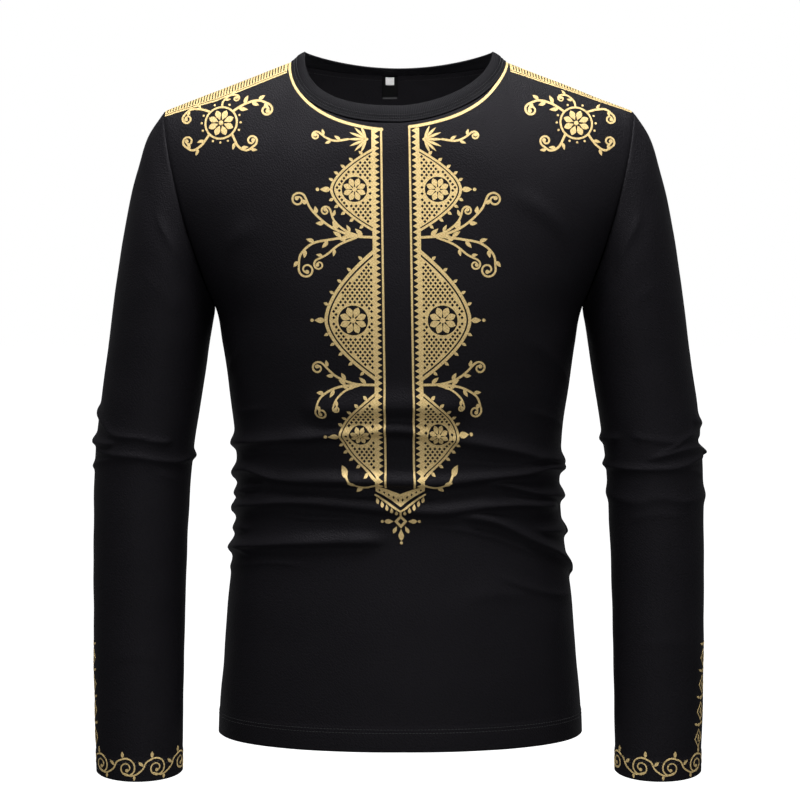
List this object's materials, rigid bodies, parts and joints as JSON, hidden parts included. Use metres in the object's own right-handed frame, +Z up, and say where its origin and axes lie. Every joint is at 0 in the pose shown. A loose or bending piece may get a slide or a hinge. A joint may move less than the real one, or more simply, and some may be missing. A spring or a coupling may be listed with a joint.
{
  "type": "dashiki shirt",
  "caption": "Long-sleeved crew-neck knit dashiki shirt, hollow as if worn, open at neck, hem and cuffs.",
  "frame": {"origin": "middle of the neck opening, level with the top of the shoulders, where the wearer's neck and shoulders carry the shirt", "axes": "+Z up along the body, -Y out of the front, +X to the wearer's left"},
  "size_m": [0.5879, 0.2483, 0.6897],
  "materials": {
    "front_panel": "black stretch jersey",
    "back_panel": "black stretch jersey",
    "sleeve_left": "black stretch jersey",
    "sleeve_right": "black stretch jersey",
    "neck_rib": "black rib knit",
    "neck_label": "black woven tape",
    "size_tab": "white woven tape"
  },
  "bodies": {
    "root": {"front_panel": "front_panel", "back_panel": "back_panel", "sleeve_left": "sleeve_left", "sleeve_right": "sleeve_right", "neck_rib": "neck_rib", "neck_label": "neck_label", "size_tab": "size_tab"}
  },
  "joints": []
}
